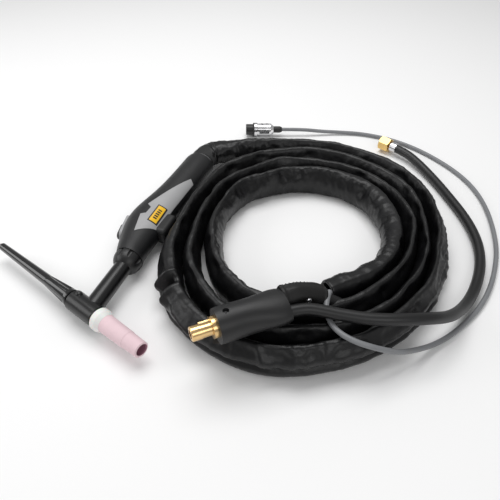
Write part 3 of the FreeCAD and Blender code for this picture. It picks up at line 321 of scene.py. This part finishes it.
def paint_bore_shade(mat, node_on_axis, axis, radius, colour):
    """Paints shade on the wall of a bore: skin that is nearer the axis than radius gets a darker
    colour.
    """
    low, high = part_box(node_on_axis)
    on_axis = [(a + b) / 2 for a, b in zip(low, high)]
    tree = mat.node_tree
    step = tree.nodes.new("ShaderNodeVectorMath")
    step.operation = "SUBTRACT"
    step.inputs[1].default_value = on_axis
    join(mat, part_of(mat, "ShaderNodeTexCoord").outputs["Object"], step.inputs[0])
    cross = tree.nodes.new("ShaderNodeVectorMath")
    cross.operation = "CROSS_PRODUCT"
    cross.inputs[1].default_value = axis
    join(mat, step.outputs[0], cross.inputs[0])
    away = tree.nodes.new("ShaderNodeVectorMath")
    away.operation = "LENGTH"
    join(mat, cross.outputs[0], away.inputs[0])
    near = tree.nodes.new("ShaderNodeMath")
    near.operation = "LESS_THAN"
    near.inputs[1].default_value = radius
    join(mat, away.outputs["Value"], near.inputs[0])
    mix = tree.nodes.new("ShaderNodeMix")
    mix.data_type = "RGBA"
    mix.inputs[7].default_value = (*colour, 1)
    join(mat, near.outputs[0], mix.inputs[0])
    join(mat, part_of(mat, "ShaderNodeValToRGB").outputs["Color"], mix.inputs[6])
    join(mat, mix.outputs[2], part_of(mat, "ShaderNodeBsdfPrincipled").inputs["Base Color"])


CUP_BORE = 5.95 * MM
# The cup's bore gets a darker pink as painted shade inside the hole.
paint_bore_shade(finishes["cup_ceramic"], "electrode", HEAD_AXIS, CUP_BORE, (0.3, 0.13, 0.18))
label_x, label_y = 18.65, -39.5
bars = [(label_x + dx, label_y, 1.0, 2.0) for dx in (-6.6, -3.3, 0, 3.3, 6.6)]
print_label(finishes["label_film"], [(label_x, label_y, 12.6, 3.9)] + bars, (0.01, 0.01, 0.01))
slots = {s["node"]: s["material_slot"] for s in frame["record"]["subparts"]}
for node_name, node in frame["nodes"].items():
    node.data.materials.clear()
    node.data.materials.append(finishes[slots[node_name]])
print("finishes", len(finishes))

# %% [markdown]
# ## Cord routes
# A hose or cable is one smooth line that rests on the bench. A NURBS spline of order three
# passes near its control points without kinks, which is how a flexible thing bends.

# %% Helpers for routes
def route_curve(name, points_mm):
    """A NURBS curve object through a route given in millimetres."""
    data = bpy.data.curves.new(name, "CURVE")
    data.dimensions = "3D"
    spline = data.splines.new("NURBS")
    spline.points.add(len(points_mm) - 1)
    for spot, (x, y, z) in zip(spline.points, points_mm):
        spot.co = (x * MM, y * MM, z * MM, 1)
    spline.order_u = 3
    spline.use_endpoint_u = True
    spline.resolution_u = 12
    thing = bpy.data.objects.new(name, data)
    bpy.context.collection.objects.link(thing)
    return thing


def read_line(curve):
    """The points of a curve's own smooth line."""
    mesh = bpy.data.meshes.new_from_object(curve)
    line = np.array([v.co[:] for v in mesh.vertices])
    bpy.data.meshes.remove(mesh)
    return line


def evenly(line, step):
    """Points at equal steps along a line, and how far along each one is."""
    gaps = np.linalg.norm(np.diff(line, axis=0), axis=1)
    along = np.concatenate([[0], np.cumsum(gaps)])
    count = int(along[-1] / step) + 1
    marks = np.linspace(0, along[-1], count)
    return np.stack([np.interp(marks, along, line[:, k]) for k in range(3)], axis=1), marks


def length_of(line):
    """How long a line is."""
    return float(np.linalg.norm(np.diff(line, axis=0), axis=1).sum())


# %% The gas hose
gas_route = [
    (-88.86, -217.64, 53.8), (-80.5, -228.13, 53.2), (-76.5, -243, 51.2), (-73.5, -262, 49),
    (-69, -284, 47.5), (-60.5, -307, 46.3), (-46, -331, 41), (-25, -350, 27), (2, -363, 14),
    (28, -372, 7), (56, -378, 5.8), (85, -380, 5.7), (113, -377, 5.7), (140, -369, 5.7),
    (166, -357, 5.7), (190, -343, 5.7), (213, -329, 5.8), (235, -313.5, 6.6),
    (255.5, -295.5, 9), (271.48, -277.59, 10.8), (279.45, -260.34, 10.8),
]
gas_curve = route_curve("gas_hose_run", gas_route)
gas_length = length_of(read_line(gas_curve))
gas_curve.data.bevel_depth = 5.5 * MM
gas_curve.data.bevel_resolution = 6
gas_curve.data.use_fill_caps = True
gas_curve.data.materials.append(finishes["hose_rubber"])
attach(gas_curve, "torch")
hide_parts("gas_hose")
print("gas hose %.3f m" % gas_length)

# %% The control cable
control_route = [
    (-47, -243.5, 46), (-57.5, -243, 45), (-69, -246, 42), (-79, -252, 40.9), (-87, -262, 40.8),
    (-91, -275, 40.5), (-90, -288, 38), (-84, -301, 31), (-74, -314, 21), (-58, -328, 11),
    (-42, -342, 4), (-25, -356, 2.75), (-4, -369, 2.75), (20, -381, 2.75), (48, -390, 2.75),
    (80, -395, 2.75), (115, -397, 2.75), (152, -393, 2.75), (190, -385, 2.75),
    (225, -371, 2.75), (253, -351, 2.75), (276, -326, 2.75), (296, -297, 2.75),
    (309, -268, 2.75), (315, -238, 2.75), (315, -209, 2.75), (308, -182, 3.4),
    (298, -157, 5.5), (287.58, -132.99, 9.7), (277.81, -104.62, 9.7),
]
control_curve = route_curve("control_cable_run", control_route)
control_length = length_of(read_line(control_curve))
control_curve.data.bevel_depth = 2.5 * MM
control_curve.data.bevel_resolution = 5
control_curve.data.use_fill_caps = True
control_curve.data.materials.append(finishes["cable_grey"])
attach(control_curve, "torch")
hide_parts("control_cable")
print("control cable %.3f m" % control_length)

# %% [markdown]
# ## The covered cable
# The power and gas hose and the trigger leads run in one flat cover of coated cloth. Wound up,
# the cover stands on its edge, so each turn shows a soft rounded ridge. The line of the coil is
# a spiral: how far each turn reaches from the middle is given for twelve directions.

# %% The coil's line
COIL_MIDDLE = (47, -197)
COVER_HALF = 19.0
SPREAD = 1.022
HOURS = 12
lead_in = [(152.65, -34.5, 17.4), (164, -34.5, 17.4), (174, -40, 18), (181.5, -52, 18.5),
           (187, -68, 19), (193, -86, 19)]
reach_by_turn = [
    [176, 175, 168, 149, 136, 142, 153, 169, 161, 139, 129, 145],
    [158, 156, 149, 134, 123, 124, 134, 144, 136, 121, 116, 122],
    [133, 133, 126, 118, 111, 108, 111, 113, 109, 97, 100, 108],
    [111, 114, 112, 103, 97, 88, 87],
]
cover_route = list(lead_in)
for reaches in reach_by_turn:
    for hour, reach in enumerate(reaches):
        bearing = math.radians(30 - 360 / HOURS * hour)
        cover_route.append((COIL_MIDDLE[0] + SPREAD * reach * math.cos(bearing),
                            COIL_MIDDLE[1] + SPREAD * reach * math.sin(bearing), COVER_HALF))
cover_curve = route_curve("cover_line", cover_route)
cover_line, cover_marks = evenly(read_line(cover_curve), 0.0015)
bpy.data.objects.remove(cover_curve)
cover_length = float(cover_marks[-1])
print("cover %.3f m, %d stations" % (cover_length, len(cover_line)))

# %% Room for each turn
def sideways(line):
    """Level unit vectors square to a line, pointing out of the coil."""
    ahead = np.gradient(line, axis=0)
    ahead /= np.linalg.norm(ahead, axis=1)[:, None]
    side = np.stack([-ahead[:, 1], ahead[:, 0], np.zeros(len(line))], axis=1)
    side /= np.linalg.norm(side, axis=1)[:, None]
    return ahead, side


def room_beside(line, marks, side, sign, most):
    """Half the gap to the next turn on one side, at each station."""
    flat = line[:, :2]
    room = np.full(len(line), most)
    for i in range(len(line)):
        gap = flat - flat[i]
        far = np.linalg.norm(gap, axis=1)
        out = gap @ side[i, :2] * sign
        near = (np.abs(marks - marks[i]) > 0.2) & (out > 0.7 * far) & (far < 4 * most)
        if near.any():
            room[i] = min(most, 0.5 * far[near].min())
    window = 31
    kernel = np.ones(window) / window
    padded = np.pad(room, window // 2, mode="edge")
    return np.convolve(padded, kernel, mode="valid")


cover_ahead, cover_side = sideways(cover_line)
MOST_HALF_WIDTH = 9.5 * MM
room_out = room_beside(cover_line, cover_marks, cover_side, 1, MOST_HALF_WIDTH)
room_in = room_beside(cover_line, cover_marks, cover_side, -1, MOST_HALF_WIDTH)
print("half widths %.1f to %.1f mm" % (room_out.min() / MM, room_out.max() / MM))

# %% [markdown]
# ### The skin of the cover
# A section of the cover is a tall rounded slot, narrower at its top than near the bench, so a
# dark gap opens between two turns. It is carried along the line and pressed in and out by folds.
# Folds in coated cloth are sharp on their crests and soft in their valleys, which ridged noise
# gives. The few folds with a place of their own are given one by one afterwards.

# %% Helpers for shapes along the cover
def fade(value, start, end):
    """0 before start, 1 after end, smooth between."""
    t = np.clip((value - start) / (end - start), 0, 1)
    return t * t * (3 - 2 * t)


def hill(value, centre, width):
    """1 at the centre, fading smoothly to 0 on both sides."""
    return np.exp(-(((value - centre) / width) ** 2))


def wander(marks, pitch, seed):
    """A slow random wave between about -1 and 1, one swing per pitch."""
    return np.array([noise.noise(Vector((s / pitch, seed, 3.7))) for s in marks]) * 1.8


RING = 56
angles = np.linspace(0, 2 * math.pi, RING, endpoint=False)
face = (np.sign(np.cos(angles)) * np.abs(np.cos(angles)) ** 0.78)[None, :]
height = (np.sign(np.sin(angles)) * np.abs(np.sin(angles)) ** 0.86)[None, :]
marks = cover_marks[:, None]
heading = np.degrees(np.unwrap(np.arctan2(cover_line[:, 1] / MM - COIL_MIDDLE[1],
                                          cover_line[:, 0] / MM - COIL_MIDDLE[0])))[:, None]
first_turn = 1 - fade(marks, 0.86, 0.98)
round_start = 1 - fade(marks, 0.018, 0.085)
print("headings %.0f to %.0f degrees" % (heading[0, 0], heading[-1, 0]))

# %% Where the cloth is slack
near_grip = hill(marks, 0.062, 0.042)
slack_front = first_turn * hill(heading, -171, 14) * (face > 0) * fade(height, -0.25, 0.1)
inner_wall = fade(marks, cover_length - 0.68, cover_length - 0.6) * (face < 0)
slack = 0.0007 + 0.0024 * near_grip + 0.0024 * slack_front + 0.0014 * inner_wall
slack = slack + 0.0012 * first_turn * hill(heading, -80, 32) * (face > 0)


def wrinkles(along_pitch, round_pitch, seed, octaves):
    """Ridged noise on the skin, about 0 on average, one value for each point."""
    value = np.empty((len(cover_marks), RING))
    for i, s in enumerate(cover_marks):
        for j, a in enumerate(angles):
            spot = Vector((s / along_pitch, math.cos(a) / round_pitch + seed,
                           math.sin(a) / round_pitch))
            value[i, j] = noise.ridged_multi_fractal(spot, 1.0, 2.1, octaves, 1.0, 2.0)
    return value - value.mean()


folds = slack * wrinkles(0.016, 1.7, 11.0, 3) + 0.0003 * wrinkles(0.0065, 0.7, 4.0, 2)
print("folds %.1f to %.1f mm" % (folds.min() / MM, folds.max() / MM))

# %% Pockets that open beside the ridges
pockets = []
place = 0.12
while place < cover_length - 0.06:
    pockets.append((place, rng.choice((-1, 1)), rng.uniform(0.0018, 0.0042),
                    rng.uniform(0.006, 0.013), rng.uniform(0.35, 0.75)))
    place += rng.uniform(0.022, 0.046)
for centre, way, deep, width, level in pockets:
    where = hill(marks, centre, width) * hill(height, level, 0.38)
    folds = folds - deep * where * (np.sign(face) == way)
print("pockets", len(pockets))

# %% Folds with a place of their own
mouth = float(np.interp(219, -heading[:, 0], cover_marks))
lean = marks - mouth - 0.003 * height
upper_out = first_turn * fade(height, -0.35, 0.35) * fade(face, -0.85, -0.1)
kink = upper_out * (-0.0125 * hill(lean, 0, 0.0046) + 0.0026 * hill(lean, -0.0098, 0.0036)
                    + 0.0030 * hill(lean, 0.0092, 0.0032) - 0.0018 * hill(lean, -0.021, 0.006))
ridge_start = float(np.interp(197, -heading[:, 0], cover_marks))
ridge = (marks - ridge_start) / (mouth - ridge_start)
folds = folds + 0.0024 * first_turn * (face > -0.2) * fade(ridge, -0.1, 0.15) * (
    1 - fade(ridge, 0.85, 1.05)) * hill(height, 0.1 + 0.7 * ridge, 0.16)
groove_on = first_turn * fade(-heading, 96, 130) * (1 - fade(-heading, 214, 232)) * (face > 0.05)
folds = folds - 0.0088 * groove_on * hill(height, -0.2, 0.12)
folds = folds + 0.0030 * groove_on * hill(height, 0.3, 0.3)
side_lean = first_turn * hill(heading, -82, 30) * (face > 0)
folds = folds + side_lean * (0.0052 * hill(height, -0.55, 0.45) - 0.0026 * hill(height, 0.12, 0.12)
                             + 0.0016 * hill(height, 0.34, 0.1))
print("mouth at %.2f m" % mouth)

# %% Build the sections
START_WIDE, START_TALL = 0.0145, 0.0127
tall = (COVER_HALF * MM) * (1 - round_start) + START_TALL * round_start
tall = tall - 0.0011 * (1 - round_start) * (0.5 + 0.5 * wander(cover_marks, 0.045, 21.0)[:, None])
half_out = room_out[:, None] * (1 - round_start) + START_WIDE * round_start
half_in = room_in[:, None] * (1 - round_start) + START_WIDE * round_start
side_half = np.where(face > 0, half_out, half_in)
taper = 1 - 0.34 * (1 - round_start) * fade(height, -0.15, 0.95)
sway = 0.0021 * wander(cover_marks, 0.052, 8.0)[:, None] * (1 - round_start)
fat = 0.0070 * first_turn * hill(heading, -226, 21) * (face > 0)
end_round = fade(marks, cover_length - 0.3, cover_length - 0.14)
fat = fat + 0.0062 * end_round * (face < 0)
taper = 1 - (1 - taper) * (1 - 0.7 * end_round)
across = face * (side_half * taper + fat + folds + kink) + sway * fade(height, -0.4, 1.0)
upward = height * tall + (0.6 * folds + 0.85 * kink) * np.clip(height, 0, 1)
skin = cover_line[:, None, :] + cover_side[:, None, :] * across[:, :, None]
LOWEST, HIGHEST = 0.0002, 0.0392
skin[:, :, 2] = np.clip(skin[:, :, 2] + upward, LOWEST, HIGHEST)
print("cover height %.1f mm" % (skin[:, :, 2].max() / MM))

# %% A skin through rings of points
def ring_mesh(name, rings):
    """A closed skin through rings of points."""
    count, size = rings.shape[:2]
    faces = [(i * size + j, i * size + (j + 1) % size, (i + 1) * size + (j + 1) % size,
              (i + 1) * size + j) for i in range(count - 1) for j in range(size)]
    faces.append(tuple(range(size - 1, -1, -1)))
    faces.append(tuple(range((count - 1) * size, count * size)))
    mesh = bpy.data.meshes.new(name)
    mesh.from_pydata(rings.reshape(-1, 3).tolist(), [], faces)
    tidy = bmesh.new()
    tidy.from_mesh(mesh)
    bmesh.ops.recalc_face_normals(tidy, faces=tidy.faces)
    tidy.to_mesh(mesh)
    tidy.free()
    mesh.shade_smooth()
    thing = bpy.data.objects.new(name, mesh)
    bpy.context.collection.objects.link(thing)
    return thing


def dress(thing, slot, *replaced):
    """Gives a piece its finish and its body, and hides the solids that it stands for."""
    thing.data.materials.append(finishes[slot])
    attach(thing, "torch")
    if replaced:
        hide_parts(*replaced)
    return thing


# %% The cover, with a hem turned into its open end
last = skin[-1]
middle = last.mean(axis=0)
hem = [middle + (last - middle) * shrink + cover_ahead[-1] * step
       for step, shrink in ((0.0009, 0.97), (0.0008, 0.88), (-0.0015, 0.82), (-0.014, 0.79),
                            (-0.034, 0.74))]
cover = ring_mesh("cable_cover", np.concatenate([skin, np.array(hem)]))
dress(cover, "cover_leatherette", "cover_lead", "cover_coil")

# %% [markdown]
# ### Bands at the two ends
# A smooth sleeve grips the cover where it leaves the handle, and ends in a rolled rim. At the
# other end a leather cuff is wrapped round the hose and held by a snap. Its free edge makes a
# step along its length, with a row of stitches beside it.

# %% Sleeve at the handle
sleeve_marks = np.arange(-0.0035, 0.0265, 0.0007)
spots = [int(np.clip(round(s / cover_marks[1]), 0, len(cover_marks) - 1))
         for s in sleeve_marks]
sleeve_rings = []
for s, i in zip(sleeve_marks, spots):
    grow = 0.0011 + 0.0009 * math.exp(-((s - 0.0245) / 0.0014) ** 2)
    grow -= 0.0004 * math.exp(-((s - 0.0205) / 0.0009) ** 2)
    centre = cover_line[i] + cover_ahead[i] * min(s, 0)
    ring = np.stack([np.cos(angles) * (START_WIDE + grow),
                     np.sin(angles) * (START_TALL + grow)], axis=1)
    sleeve_rings.append(centre + ring[:, :1] * cover_side[i] + ring[:, 1:] * np.array([0, 0, 1.0]))
end_ring = sleeve_rings[-1]
sleeve_rings.append(end_ring.mean(axis=0) + (end_ring - end_ring.mean(axis=0)) * 0.9)
sleeve = dress(ring_mesh("handle_sleeve", np.array(sleeve_rings)), "cuff_rubber")

# %% Leather cuff
cuff_route = [(-77.03, -207.17, 53.8), (-68.5, -216.81, 53.8), (-58, -229, 47), (-50, -240, 38),
              (-44, -252, 29)]
cuff_curve = route_curve("cuff_line", cuff_route)
cuff_line, cuff_marks = evenly(read_line(cuff_curve), 0.0006)
bpy.data.objects.remove(cuff_curve)
CUFF_LONG = 41 * MM
cuff_ahead = np.gradient(cuff_line, axis=0)
cuff_ahead /= np.linalg.norm(cuff_ahead, axis=1)[:, None]
cuff_side = np.cross(cuff_ahead, (0, 0, 1.0))
cuff_side /= np.linalg.norm(cuff_side, axis=1)[:, None]
cuff_up = np.cross(cuff_side, cuff_ahead)
EDGE = 2.05
thick = 0.0013 * (1 / (1 + np.exp(-(angles - EDGE) * 26))) * (angles < EDGE + 3.6)
thick = thick * (1 - fade(angles, EDGE + 3.0, EDGE + 3.6))
cuff_rings = []
for s, centre, side, up in zip(cuff_marks, cuff_line, cuff_side, cuff_up):
    if s > CUFF_LONG:
        break
    rim = 0.0007 * (math.exp(-((s - 0.0016) / 0.0012) ** 2)
                    + math.exp(-((s - CUFF_LONG + 0.0016) / 0.0012) ** 2))
    soft = np.array([noise.noise(Vector((s / 0.013, math.cos(a) * 1.3, math.sin(a) * 1.3)))
                     for a in angles]) * 0.0009
    wide = 0.0097 + thick + rim + soft
    flat = 0.0108 + thick + rim + soft
    cuff_rings.append(centre + np.outer(np.cos(angles) * wide, side)
                      + np.outer(np.sin(angles) * flat, up))
for inset in (0.9, 0.75):
    for at, where in ((0, 0), (-1, len(cuff_rings))):
        ring = np.array(cuff_rings[at])
        cuff_rings.insert(where, ring.mean(axis=0) + (ring - ring.mean(axis=0)) * inset)
leather = dress(ring_mesh("leather_cuff_wrap", np.array(cuff_rings)), "cuff_leather",
                "leather_cuff")
print("leather cuff %.0f mm" % (CUFF_LONG / MM))

# %% The hose that goes on from the leather cuff into the cover
HOSE_RADIUS = 0.0066
inner_rings = [centre + np.outer(np.cos(angles) * HOSE_RADIUS, side)
               + np.outer(np.sin(angles) * HOSE_RADIUS, up)
               for s, centre, side, up in zip(cuff_marks, cuff_line, cuff_side, cuff_up)
               if s > CUFF_LONG - 0.006]
inner_hose = dress(ring_mesh("hose_in_cuff", np.array(inner_rings)), "hose_rubber")

# %% Stitches beside the cuff's free edge
stitch_mesh = bmesh.new()
for s in np.arange(0.004, CUFF_LONG - 0.004, 0.0032):
    i = int(np.argmin(np.abs(cuff_marks - s)))
    a = EDGE + 0.42
    spot = (Vector(cuff_line[i]) + Vector(cuff_side[i]) * math.cos(a) * 0.0112
            + Vector(cuff_up[i]) * math.sin(a) * 0.0123)
    turn = Vector(cuff_ahead[i]).to_track_quat("Z", "Y").to_matrix().to_4x4()
    turn.translation = spot
    made = bmesh.ops.create_uvsphere(stitch_mesh, u_segments=8, v_segments=6, radius=0.0003)
    for v in made["verts"]:
        v.co.z *= 2.2
        v.co = turn @ v.co
stitch_data = bpy.data.meshes.new("cuff_stitches")
stitch_mesh.to_mesh(stitch_data)
stitch_mesh.free()
stitch_data.shade_smooth()
stitches = bpy.data.objects.new("cuff_stitches", stitch_data)
bpy.context.collection.objects.link(stitches)
dress(stitches, "cuff_leather")
